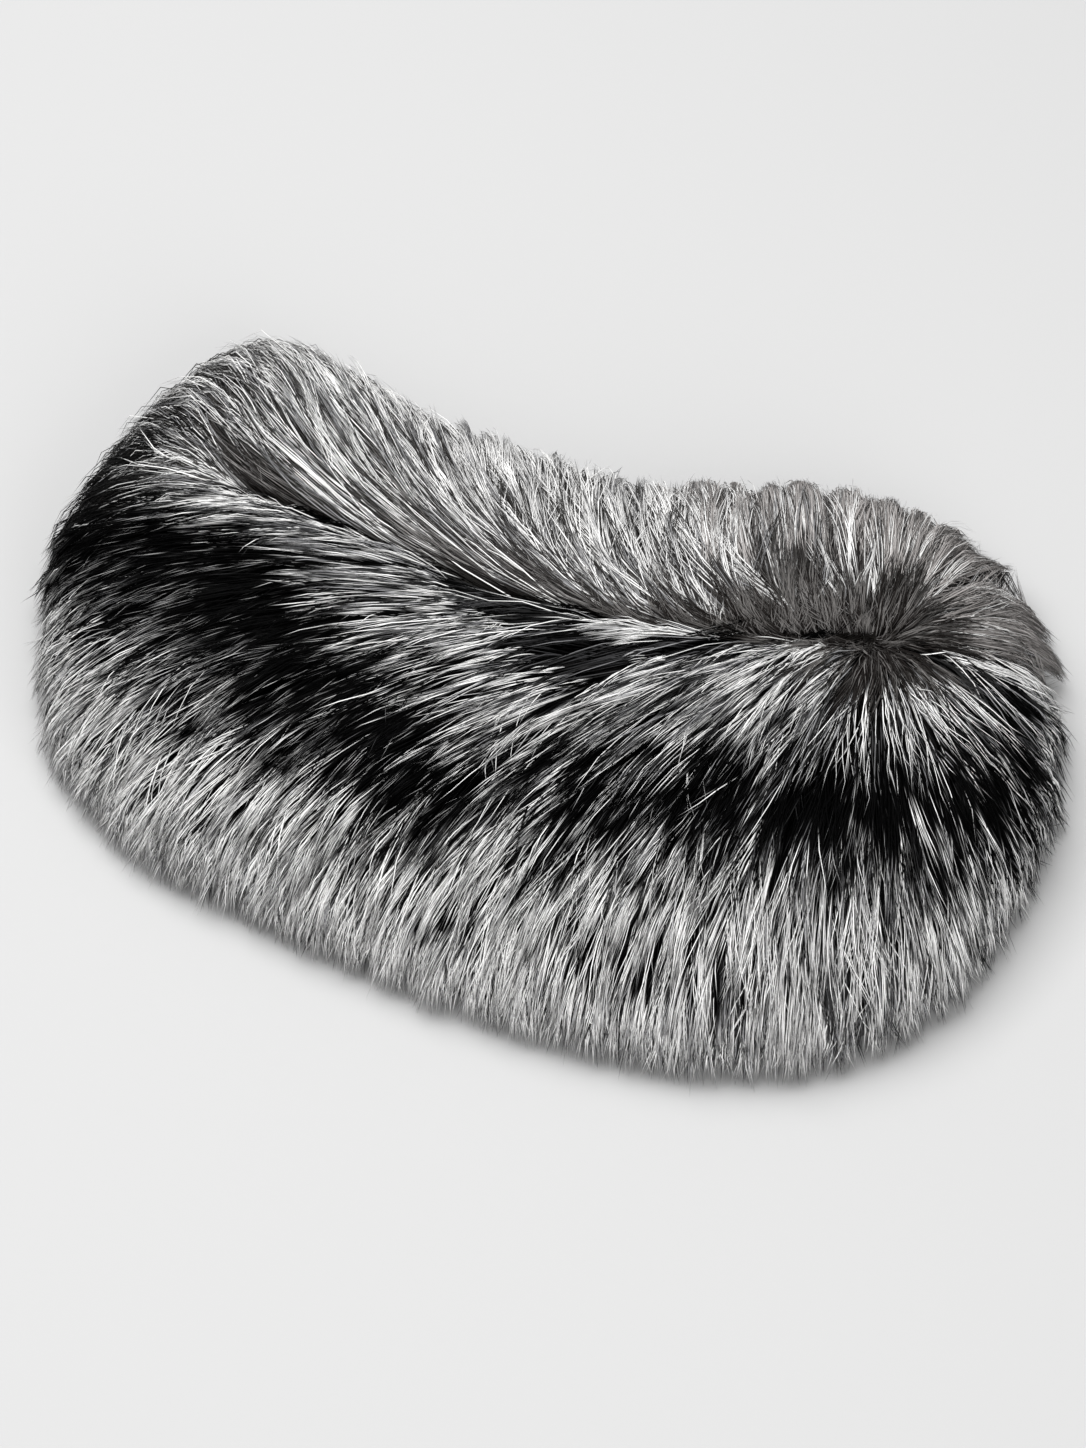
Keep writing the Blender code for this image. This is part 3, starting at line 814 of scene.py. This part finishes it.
def hair_bands():
    """The colours of one hair from root to tip: a dark root, a light shaft, a tip, and the black band at its
    own place. The hair's column on the map sets its shade and that place, and changes it a little."""
    name = "hair_bands"
    if name in bpy.data.node_groups:
        return bpy.data.node_groups[name]
    tree = bpy.data.node_groups.new(name, "ShaderNodeTree")
    for label, side, kind in (
        ("Across", "INPUT", "Float"),
        ("Along", "INPUT", "Float"),
        *((label, "INPUT", "Color") for label in HAIR_COLOURS),
        *((label, "INPUT", "Float") for label in HAIR_PLACES),
        ("Color", "OUTPUT", "Color"),
        ("Own Shade", "OUTPUT", "Float"),
    ):
        tree.interface.new_socket(label, in_out=side, socket_type="NodeSocket" + kind)
    given, result = tree.nodes.new("NodeGroupInput").outputs, tree.nodes.new("NodeGroupOutput")
    across = sums(tree, "MULTIPLY", given["Across"], SHADES)
    strip = sums(tree, "FLOOR", across)
    within = sums(tree, "SUBTRACT", across, strip)
    column = sums(tree, "FLOOR", sums(tree, "MULTIPLY", given["Across"], TONE_COLUMNS))
    own, other = (chance(tree, column, seed) for seed in (0.0, 517.0))
    along = given["Along"]
    change = sums(tree, "MULTIPLY", sums(tree, "SUBTRACT", own, 0.5), 0.3)
    shade = sums(tree, "ADD", sums(tree, "DIVIDE", strip, SHADES - 1.0), change)
    shaft = blend(tree, ramp(tree, shade, 0.0, 0.55), given["Silver"], given["Grey"])
    shaft = blend(tree, ramp(tree, shade, 0.5, 1.0), shaft, given["Dark"])
    begin = sums(tree, "ADD", given["Silver Start"], sums(tree, "MULTIPLY", other, 0.16))
    shaft = blend(tree, ramp(tree, along, begin, sums(tree, "ADD", begin, 0.18)), given["Root"], shaft)
    to_tip = sums(tree, "MULTIPLY", ramp(tree, along, given["Tip Start"], 1.0), other)
    tipped = blend(tree, to_tip, shaft, given["Tip"])
    centre = sums(tree, "SUBTRACT", sums(tree, "MULTIPLY", within, 3.0), 1.0)
    off = sums(tree, "ABSOLUTE", sums(tree, "SUBTRACT", along, centre))
    inner, outer = (sums(tree, side, given["Band Half Width"], 0.08) for side in ("SUBTRACT", "ADD"))
    banded = blend(tree, ramp(tree, off, inner, outer, 1.0, 0.0), tipped, given["Black"])
    feed(tree, result, {"Color": banded, "Own Shade": own})
    return tree


def hair_finish(colours, name):
    """A hair's material from its row of HAIR_FINISHES: its bands by its own map, with a soft shine that
    varies from hair to hair."""
    roughness, lightness, *row = HAIR_FINISHES[name]
    values = dict(zip(HAIR_COLOURS + HAIR_PLACES, row))
    for label in HAIR_COLOURS:
        colour = values[label]
        colour = tuple(getattr(colours, colour)) if isinstance(colour, str) else colour
        colour = colour if isinstance(colour, tuple) else (colour,) * 3
        values[label] = tuple(lightness * part for part in colour) if label in ("Silver", "Grey") else colour
    made, tree, surface = shader(name)
    uv = add(tree, "UVMap", {}, uv_map="OFBake")
    split = add(tree, "SeparateXYZ", {0: uv.outputs["UV"]})
    values.update(Across=split.outputs["X"], Along=split.outputs["Y"])
    bands = add(tree, "Group", values, node_tree=hair_bands())
    shine = (roughness - SHINE_SPREAD, roughness + SHINE_SPREAD)
    rough = ramp(tree, bands.outputs["Own Shade"], 0.0, 1.0, *shine)
    colour = bands.outputs["Color"]
    feed(tree, surface, {"Base Color": colour, "Roughness": rough, "Specular IOR Level": SHINE})
    return made


def undercoat_finish(name, near, middle, far):
    """Short dense wool: fine streaks along the rays, with painted shade in the grooves between them, in
    tones that change outward.
    """
    made, tree, surface = shader(name)
    uv = add(tree, "UVMap", {}, uv_map="UVMap").outputs["UV"]
    stretch = add(tree, "Mapping", {"Scale": (420.0, 9.0, 1.0), "Vector": uv})
    noise = {"Scale": 1.0, "Detail": 4.0, "Roughness": 0.65, "Vector": stretch.outputs["Vector"]}
    fibres = add(tree, "TexNoise", noise, noise_dimensions="2D").outputs[0]
    out = add(tree, "SeparateXYZ", {0: uv}).outputs["Y"]
    tone = blend(tree, ramp(tree, out, 0.15, 0.45), near, middle)
    tone = blend(tree, ramp(tree, out, 0.6, 0.9), tone, far)
    # painted shade: the wool's tone darkened towards black in the grooves between the fibre streaks, where
    # the bump below sinks
    dark = blend(tree, 0.75, tone, (0.004, 0.004, 0.005))
    streaks_with_painted_shade = blend(tree, ramp(tree, fibres, 0.35, 0.7), dark, tone)
    feed(tree, surface, {"Base Color": streaks_with_painted_shade, "Roughness": 0.85, "Specular IOR Level": 0.15})
    bumps(tree, surface, fibres, 0.6, 0.002)
    return made


def leather_finish(colour):
    """Dressed fox leather, flesh side down: soft suede nap over faint wrinkles."""
    made, tree, surface = shader("fox_leather_suede")
    place = add(tree, "TexCoord", {}).outputs["Object"]
    nap = add(tree, "TexNoise", {"Scale": 900.0, "Detail": 5.0, "Vector": place}).outputs[0]
    cells = add(tree, "TexVoronoi", {"Scale": 60.0, "Vector": place}, feature="SMOOTH_F1")
    wrinkles = cells.outputs["Distance"]
    worn = tuple(0.7 * part for part in colour)
    mottled = blend(tree, ramp(tree, wrinkles, 0.2, 0.9), colour, worn)
    feed(tree, surface, {"Base Color": mottled, "Roughness": 0.9, "Sheen Weight": 0.25})
    bumps(tree, surface, sums(tree, "ADD", nap, sums(tree, "MULTIPLY", wrinkles, 0.6)), 0.5, 0.0006)
    return made


# --- Pieces ----------------------------------------------------------------------------------------


def closed_piece(name, points, step, finish, node):
    """A grid primitive whose corners are laid onto rows of points, closed along its first column and with a
    cap at each end. step moves its edges along the seam, and node is the solid that it replaces."""
    points[:, (0, -2, -1), 1] += step
    for end in (0, -1):
        points[end, 1:-2, 1] += step
    rows, columns = points.shape[:2]
    bpy.ops.object.select_all(action="DESELECT")
    bpy.ops.mesh.primitive_grid_add(x_subdivisions=rows - 1, y_subdivisions=columns - 1, size=2)
    made = bpy.context.object
    made.name = made.data.name = name
    flat = np.empty(len(made.data.vertices) * 3, np.float32)
    made.data.vertices.foreach_get("co", flat)
    flat = (flat.reshape(-1, 3)[:, :2] + 1) / 2
    i, j = (np.round(flat[:, k] * (steps - 1)).astype(int) for k, steps in enumerate((rows, columns)))
    made.data.vertices.foreach_set("co", points[i, j].astype(np.float32).ravel())
    made.data.update()
    same_place = 1e-6
    bpy.ops.object.mode_set(mode="EDIT")
    bpy.ops.mesh.select_all(action="SELECT")
    bpy.ops.mesh.remove_doubles(threshold=same_place)
    bpy.ops.mesh.select_all(action="DESELECT")
    bpy.ops.mesh.select_non_manifold(extend=False)
    bpy.ops.mesh.edge_face_add()
    bpy.ops.mesh.select_all(action="SELECT")
    bpy.ops.mesh.dissolve_degenerate(threshold=same_place)
    bpy.ops.mesh.quads_convert_to_tris()
    bpy.ops.mesh.normals_make_consistent(inside=False)
    bpy.ops.object.mode_set(mode="OBJECT")
    made.data.materials.clear()
    made.data.materials.append(finish)
    bpy.ops.object.shade_smooth_by_angle(angle=math.radians(50))
    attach(made, "root")
    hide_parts(node)


def skin_edge(about):
    """The share along a ray at which the leather ends."""
    return 1 - HAIR_BEYOND_SKIN / plan_and_reach(ray(about), np.zeros_like(about))[1]


def size_setting(name, description, default, least):
    return FloatProperty(name=name, description=description, default=default, min=least, unit="LENGTH")


def colour_setting(name, description, default):
    return FloatVectorProperty(name=name, description=description, default=default, subtype="COLOR")


class FURWRAP_PG_sizes(bpy.types.PropertyGroup):
    hair_length: size_setting("Hair length", "Length of a guard hair", 0.072, 0.02)
    hair_thickness: size_setting("Hair thickness", "Widest part of a guard hair", 0.0006, 0.0001)
    lock_width: size_setting("Lock width", "Width of a common lock at its root", 0.01, 0.002)
    undercoat_depth: size_setting("Undercoat depth", "Under the guard hair's tips", 0.012, 0.002)


class FURWRAP_PG_colours(bpy.types.PropertyGroup):
    silver: colour_setting("Silver", "The light length of a guard hair", (0.88, 0.875, 0.865))
    grey: colour_setting("Grey", "The light length of darker hairs", (0.36, 0.36, 0.37))
    black: colour_setting("Black", "Roots, tips and the band", (0.0008, 0.0008, 0.0009))
    wool: colour_setting("Wool", "The undercoat at the neck", (0.09, 0.085, 0.082))
    leather: colour_setting("Leather", "The flesh side of the skins", (0.62, 0.55, 0.45))
    floor: colour_setting("Floor", "The surface under the wrap", (0.44, 0.44, 0.44))


class FURWRAP_OT_leather(bpy.types.Operator):
    """Cuts the two leather panels that meet at the seam under the parting"""

    bl_idname = "fur_wrap.leather"
    bl_label = "Leather panels"

    def execute(self, context):
        finish = leather_finish(tuple(context.scene.fur_colours.leather))
        for side, (first, last, step, _, _) in SIDES.items():
            about = np.linspace(first, last, SKIN_ROUND)
            shares = np.linspace(0, 1, SKIN_OUT)[None, :] * skin_edge(about)[:, None]
            plan = plan_and_reach(ray(np.broadcast_to(about[:, None], shares.shape)), shares)[0]
            upper, lower = level(plan, SKIN_THICKNESS), level(plan[:, ::-1], 0.0)
            points = np.concatenate([upper, lower, upper[:, :1]], axis=1)
            closed_piece(f"leather_{side}", points, step, finish, f"skin_{side}")
        return {"FINISHED"}


class FURWRAP_OT_undercoat(bpy.types.Operator):
    """Builds the dense undercoat that fills both fields of pile under their guard hair"""

    bl_idname = "fur_wrap.undercoat"
    bl_label = "Undercoat"

    def execute(self, context):
        colours = context.scene.fur_colours
        finishes = {
            "fall": undercoat_finish("undercoat_wool_dark", WOOL_ROOT, tuple(colours.black), DARK_TIPS),
            "neck": undercoat_finish("undercoat_wool_grey", WOOL_ROOT, tuple(colours.wool), GREY_TIPS),
        }
        for side, (first, last, step, _, _) in SIDES.items():
            about = np.linspace(first, last, UNDERCOAT_ROUND)
            points = self.section(about, context.scene.fur_sizes.undercoat_depth)
            closed_piece(f"undercoat_{side}", points, step, finishes[side], f"fur_{side}")
        return {"FINISHED"}

    def section(self, about, depth):
        """Rows of points across the undercoat: over its top, down to the floor and back over the leather."""
        share = np.sin(np.linspace(0, math.pi / 2, UNDERCOAT_OUT)) ** (2 / SHOULDER)
        distance = share[None, :] * COAT.total(about)[:, None]
        everywhere = np.broadcast_to(about[:, None], distance.shape)
        place, outward, _ = COAT.place(everywhere, distance, tips=False)
        sunk = columns_at(SUNK, everywhere)[0] + gap_depth(everywhere, distance)
        top = place - outward * (depth + sunk)[..., None]
        top[..., 2] = np.maximum(top[..., 2], UNDERCOAT_CLEARANCE)
        edge = plan_and_reach(ray(about), skin_edge(about) + UNDERCOAT_FOOT)[0]
        root = plan_and_reach(ray(about), np.zeros_like(about))[0]
        ceiling = SKIN_THICKNESS + SEAM_GAP
        under = [level(top[:, -1, :2], 0.0), level(edge, 0.0), level(edge, ceiling), level(root, ceiling)]
        return np.concatenate([top, *(ring[:, None] for ring in under), top[:, :1]], axis=1)


class Groomer:
    """Lays the hair of one side of the wrap, with its own random numbers."""

    def __init__(self, context, seed):
        self.sizes = context.scene.fur_sizes
        self.colours = context.scene.fur_colours
        self.random = np.random.default_rng(seed)

    def measures(self, changes):
        """A lock's measures, with changes."""
        lock = {**LOCK, "length": self.sizes.hair_length, **changes}
        return {**lock, "width": lock["width"] * self.sizes.lock_width}

    def locks(self, start, end, count, **changes):
        return hairs_in_locks(self.random, start, end, count, self.measures(changes))

    def loose(self, start, end, count, **changes):
        return loose_hairs(self.random, start, end, count, self.measures(changes))

    def thinned(self, hairs):
        return thinned(self.random, hairs)

    def toned(self, hairs, by_hair, by_lock=0.1, later=0.0):
        """The hairs with their places on their map: a strip for each shade, and the band's place in it."""
        strip = shades(self.random, hairs, by_lock, by_hair)
        return {**hairs, "tone": (strip + band_places(self.random, hairs, later)) / SHADES}

    def lay(self, name, hairs, finish, shape):
        finish = bpy.data.materials.get(finish) or hair_finish(self.colours, finish)
        lay_hairs(name, hairs, self.sizes.hair_thickness, finish, shape)


class FURWRAP_OT_fall_hair(bpy.types.Operator):
    """Lays the guard hair of the fall: silver locks, and dark hairs between and under them"""

    bl_idname = "fur_wrap.fall_hair"
    bl_label = "Fall's guard hair"

    def execute(self, context):
        groomer = Groomer(context, seed=21)
        fall = SIDES["fall"][:2]
        broad = groomer.locks(*fall, 9200, hairs=26, width=1.2, on_top=0.35)
        narrow = groomer.locks(*fall, 10900, hairs=10, width=0.55)
        hairs = groomer.toned(groomer.thinned(join_hairs(broad, narrow)), 0.16)
        at_parting = (hairs["start"] > -FIRST_BEHIND) & (hairs["start"] < FIRST_PAST)
        at_parting &= hairs["length"] < FIRST_LENGTH
        is_late = (hairs["lock_tone"] > LATE_TONE) & ~at_parting
        for name, which, finish in (
            ("fall_first_hair", at_parting, "guard_hair_early"),
            ("fall_silver_hair", ~at_parting & ~is_late, "guard_hair_middle"),
            ("fall_late_silver_hair", is_late, "guard_hair_late"),
        ):
            groomer.lay(name, chosen(hairs, which), finish, GUARD_HAIR)
        hairs = groomer.locks(*fall, 7000, from_rim=0.014, length=0.055, **FRINGE)
        groomer.lay("fall_fringe", groomer.toned(hairs, 0.2), "guard_hair_middle", FRINGE_HAIR)
        bunch = dict(hairs=4, width=0.5, gather=1.4, stray=0.0014, swing=0.006, wave=0.0014, on_top=0.5)
        bunch.update(depth=0.007, behind=1.8, nearest=0.035, lean=0.01)
        hairs = groomer.thinned(groomer.locks(*fall, 3200, dark=0.7, **bunch))
        hairs["turns"] *= 2  # single strands wave more often
        groomer.lay("fall_strands", groomer.toned(hairs, 0.1), "guard_hair_early", STRAND)
        fan = dict(bunch, hairs=9, width=0.6, gather=1.5, on_top=1.0, depth=0.004, first=0.014, dark=0.1)
        fan.update(nearest=0.055, furthest=0.098, stray=0.0016, lift=0.004, lean=0.004, wave=0.0022)
        fan.update(turns=13.2, thickness=0.85)
        hairs = groomer.locks(*WHORL_STRANDS, 210, **fan)
        groomer.lay("fall_whorl_strands", groomer.toned(hairs, 0.1, later=0.35), "guard_hair_early", STRAND)
        hairs = groomer.locks(*fall, 5200, lift=0.0, width=1.6, gather=0.6, on_top=0.0)
        groomer.lay("fall_dark_hair", groomer.toned(hairs, 0.2, by_lock=0.3), "guard_hair_dark", UNDER_HAIR)
        return {"FINISHED"}


class FURWRAP_OT_neck_hair(bpy.types.Operator):
    """Lays the guard hair of the neck side: light strands over grey wool, browner about the whorl"""

    bl_idname = "fur_wrap.neck_hair"
    bl_label = "Neck's guard hair"

    def execute(self, context):
        groomer = Groomer(context, seed=34)
        neck = SIDES["neck"][:2]
        full_length = context.scene.fur_sizes.hair_length
        lock = dict(hairs=12, width=0.7, gather=0.4, wave=0.001, lean=0.008, on_top=0.6)
        hairs = groomer.thinned(groomer.locks(*neck, 5600, **lock))
        groomer.lay("neck_silver_hair", groomer.toned(hairs, 0.16), "neck_hair_silver", GUARD_HAIR)
        hairs = groomer.locks(*neck, 3200, **dict(lock, **FRINGE, from_rim=0.012, length=0.05))
        groomer.lay("neck_fringe", groomer.toned(hairs, 0.25), "neck_hair_silver", FRINGE_HAIR)
        bunch = dict(hairs=6, width=0.5, gather=1.8, stray=0.0016, swing=0.008, wave=0.0016, on_top=0.5)
        bunch.update(depth=0.006, length=0.08, behind=1.5, nearest=0.045, lean=0.011, dark=0.75)
        strands = groomer.thinned(groomer.locks(CROWN_STRANDS[1], 1.0, 2500, **bunch))
        strands["turns"] *= 2.5  # single strands wave more often
        straight = dict(bunch, hairs=4, width=0.4, gather=2.0, stray=0.0014, swing=0.003, wave=0.001)
        straight.update(on_top=1.0, depth=0.002, lean=0.003, first=0.013, from_rim=0.05, length=0.085)
        on_crown = groomer.locks(*CROWN_STRANDS, 440, thickness=0.8, **straight)
        hairs = groomer.toned(join_hairs(strands, on_crown), 0.1)
        groomer.lay("neck_strands", hairs, "neck_strand", STRAND)
        wool = dict(nearest=0.015, length=full_length * 0.8, swing=0.005, first=0.003)
        wool.update(lean=0.006, lift=0.0008, wave=0.001)
        thin = groomer.loose(*neck, 6000, **wool)
        hairs = join_hairs(thin, groomer.loose(RIGHT_END, THICK_WOOL_TO, 1500, **wool))
        groomer.lay("neck_wool_hair", groomer.toned(hairs, 0.2), "neck_hair_wool", UNDER_HAIR)
        wedge = dict(hairs=30, width=1.4, gather=0.6, wave=0.001, depth=0.006, on_top=0.6, first=0.01)
        wedge.update(from_rim=0.06, length=full_length * 1.2, stray=0.0008, most_lift=0.005)
        hairs = groomer.toned(groomer.locks(*CROWN_WOOL, 4400, **wedge), 0.2)
        groomer.lay("neck_crown_wool", hairs, "crown_wool", GUARD_HAIR)
        tuft = dict(hairs=14, width=0.7, gather=0.45, wave=0.0016, swing=0.004, first=0.001, depth=0.005)
        tuft.update(nearest=0.012, furthest=WHORL_WOOL_REACH, length=full_length * 0.6, on_top=0.0)
        short = dict(tuft, hairs=7, width=0.5, nearest=0.003, furthest=0.022, length=0.022, first=-0.006)
        short.update(depth=0.003, lean=0.006)
        long_wool = groomer.locks(*WHORL_WOOL, 2600, **tuft)
        hairs = join_hairs(long_wool, groomer.locks(*SHORT_WOOL, 1800, **short))
        groomer.lay("neck_whorl_wool", groomer.toned(hairs, 0.2, by_lock=0.15), "whorl_wool", UNDER_HAIR)
        return {"FINISHED"}


class FURWRAP_OT_stage(bpy.types.Operator):
    """Sets the pale floor, the soft lights and the camera"""

    bl_idname = "fur_wrap.stage"
    bl_label = "Stage"

    def execute(self, context):
        bpy.ops.object.select_all(action="DESELECT")
        bpy.ops.mesh.primitive_plane_add(size=8)
        floor = context.object
        floor.name = "pale_floor"
        paint, tree, surface = shader("pale_floor_paint")
        feed(tree, surface, {"Base Color": tuple(context.scene.fur_colours.floor), "Roughness": 0.8})
        floor.data.materials.append(paint)
        self.lamp("soft_key", (-0.5, 0.3, 2.3), 2.2, 92)
        self.lamp("soft_front", (1.0, -2.2, 1.6), 2.0, 40)
        world = bpy.data.worlds.new("pale_room")
        context.scene.world = world
        context.scene.view_settings.view_transform = "Standard"
        world.use_nodes = True
        feed(world.node_tree, world.node_tree.nodes["Background"], {"Color": (1, 1, 1), "Strength": 0.36})
        self.camera(context)
        return {"FINISHED"}

    def lamp(self, name, place, size, power):
        bpy.ops.object.light_add(type="AREA", location=place)
        lamp = bpy.context.object
        lamp.name = name
        lamp.data.size = size
        lamp.data.energy = power
        lamp.rotation_euler = (-Vector(place)).to_track_quat("-Z", "Y").to_euler()

    def camera(self, context):
        """A long lens, looking down on the wrap from its front."""
        elevation, distance, view_height = math.radians(55), 4.0, 0.6516
        target = Vector((-MIDDLE[0] * CM, -MIDDLE[1] * CM, 0.0))
        direction = Vector((0, -math.cos(elevation), math.sin(elevation)))
        bpy.ops.object.camera_add(location=target + direction * distance)
        camera = context.object
        camera.name = "front_camera"
        camera.rotation_euler = (-direction).to_track_quat("-Z", "Y").to_euler()
        camera.data.sensor_fit = "VERTICAL"
        camera.data.lens = camera.data.sensor_height * distance / view_height
        context.scene.camera = camera


class FURWRAP_PT_wrap(bpy.types.Panel):
    """The wrap's sizes, colours and pieces"""

    bl_idname = "FURWRAP_PT_wrap"
    bl_label = "Fur Collar Wrap"
    bl_space_type = "VIEW_3D"
    bl_region_type = "UI"
    bl_category = "Fur Wrap"

    def draw(self, context):
        for group_name, title in (("fur_sizes", "Sizes"), ("fur_colours", "Colours")):
            box = self.layout.box()
            box.label(text=title)
            settings = getattr(context.scene, group_name)
            for name in settings.bl_rna.properties.keys():
                if name not in ("rna_type", "name"):
                    box.prop(settings, name)
        for operator in OPERATORS:
            self.layout.operator(operator.bl_idname)


OPERATORS = (
    FURWRAP_OT_leather,
    FURWRAP_OT_undercoat,
    FURWRAP_OT_fall_hair,
    FURWRAP_OT_neck_hair,
    FURWRAP_OT_stage,
)
CLASSES = (FURWRAP_PG_sizes, FURWRAP_PG_colours, *OPERATORS, FURWRAP_PT_wrap)


def register():
    for made in CLASSES:
        bpy.utils.register_class(made)
    bpy.types.Scene.fur_sizes = PointerProperty(type=FURWRAP_PG_sizes)
    bpy.types.Scene.fur_colours = PointerProperty(type=FURWRAP_PG_colours)


def unregister():
    del bpy.types.Scene.fur_sizes
    del bpy.types.Scene.fur_colours
    for made in reversed(CLASSES):
        bpy.utils.unregister_class(made)


def main():
    register()
    for operator in OPERATORS:
        family, name = operator.bl_idname.split(".")
        getattr(getattr(bpy.ops, family), name)()


if __name__ == "__main__":
    main()
